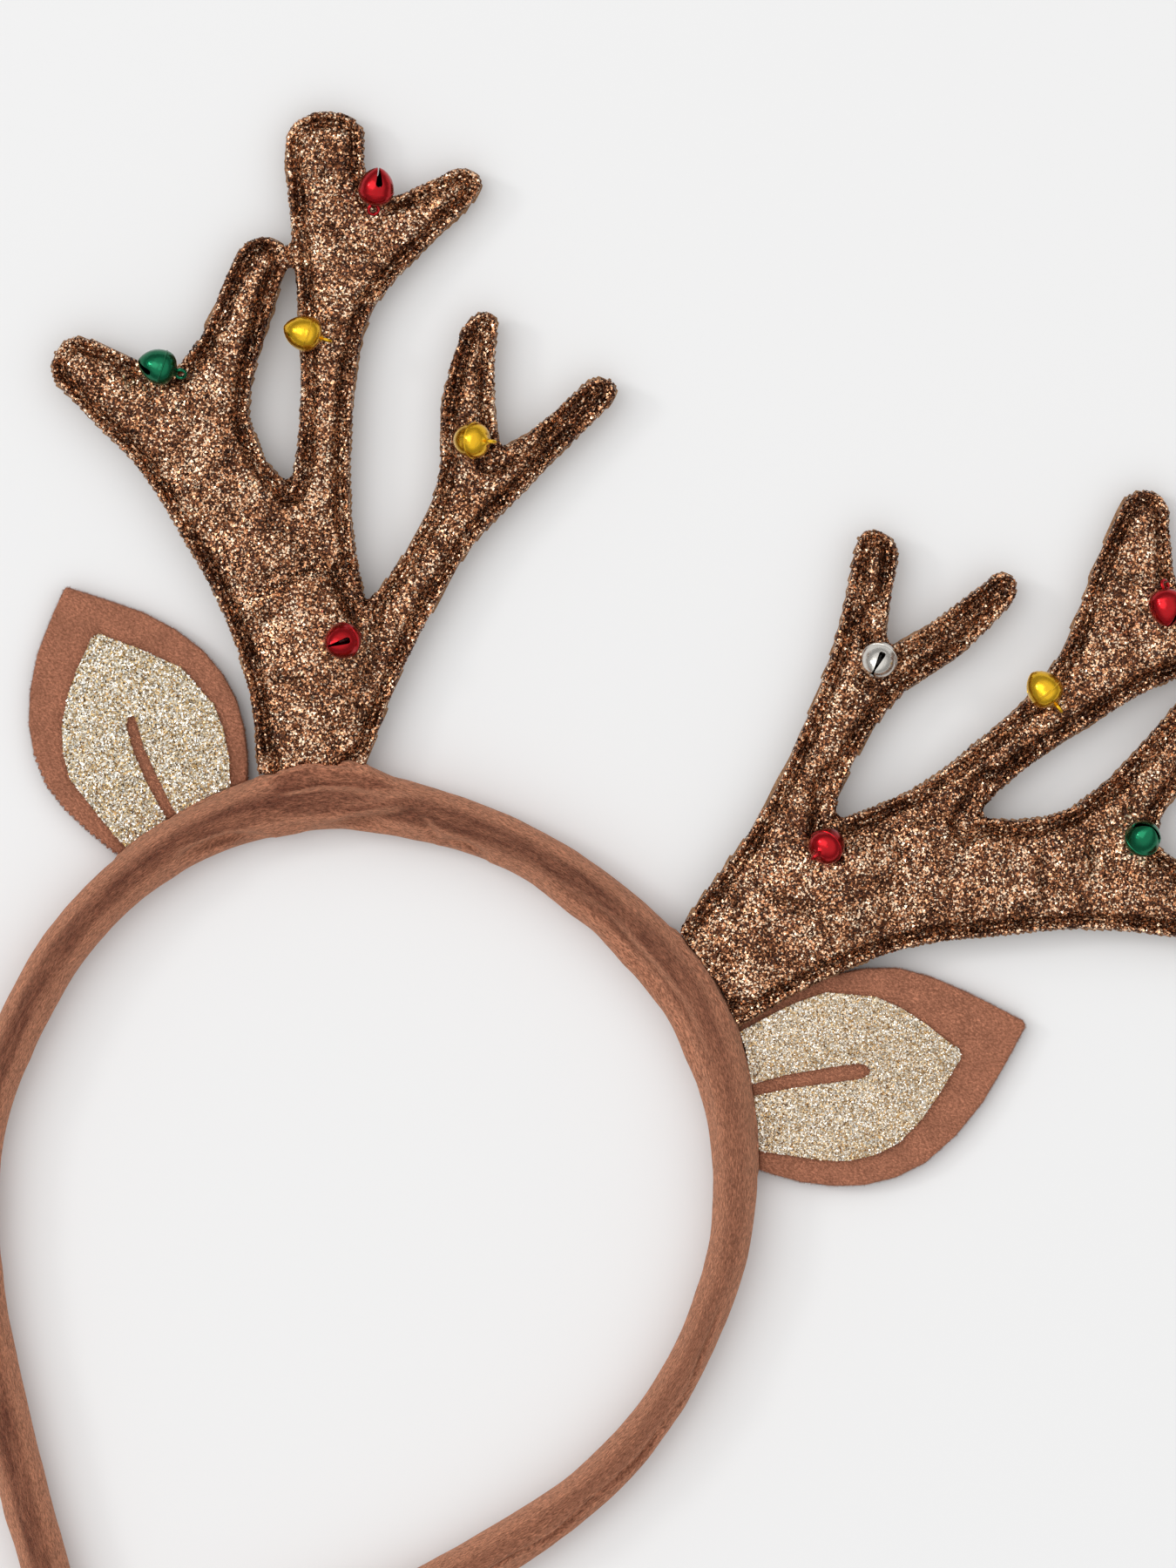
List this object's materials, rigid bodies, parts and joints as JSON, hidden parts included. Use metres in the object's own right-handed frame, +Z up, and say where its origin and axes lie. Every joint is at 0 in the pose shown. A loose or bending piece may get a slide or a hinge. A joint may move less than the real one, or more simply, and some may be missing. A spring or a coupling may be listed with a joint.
{
  "type": "reindeer antler headband",
  "caption": "Velvet-wrapped headband with padded glitter antlers, felt ears lined with a glitter sheet, and small jingle bells, lying on its back.",
  "frame": {"origin": "middle of the part's box, on the surface that it lies on", "axes": "+X across the headband, +Y from the open ends of the band to the tips of the antlers, +Z up from the surface, out of the front of the antlers"},
  "size_m": [0.2258, 0.2632, 0.0162],
  "materials": {
    "headband": "brown velvet wound round a padded band",
    "antler_left": "brown glitter fabric, padded",
    "antler_right": "brown glitter fabric, padded",
    "antler_backing_left": "tan felt",
    "antler_backing_right": "tan felt",
    "ear_left": "brown felt with a short nap",
    "ear_right": "brown felt with a short nap",
    "ear_inner_left": "champagne glitter sheet",
    "ear_inner_right": "champagne glitter sheet",
    "bell_red": "bright red coated metal",
    "bell_green": "bright green coated metal",
    "bell_gold": "bright gold-coloured metal",
    "bell_silver": "bright silver-coloured metal"
  },
  "bodies": {
    "root": {"headband": "headband", "antler_left": "antler_left", "antler_right": "antler_right", "antler_backing_left": "antler_backing_left", "antler_backing_right": "antler_backing_right", "ear_left": "ear_left", "ear_right": "ear_right", "ear_inner_left": "ear_inner_left", "ear_inner_right": "ear_inner_right", "bell_left_top": "bell_red", "bell_left_outer": "bell_green", "bell_left_stem": "bell_gold", "bell_left_inner": "bell_gold", "bell_left_base": "bell_red", "bell_right_top": "bell_red", "bell_right_outer": "bell_green", "bell_right_stem": "bell_gold", "bell_right_inner": "bell_silver", "bell_right_base": "bell_red"}
  },
  "joints": []
}
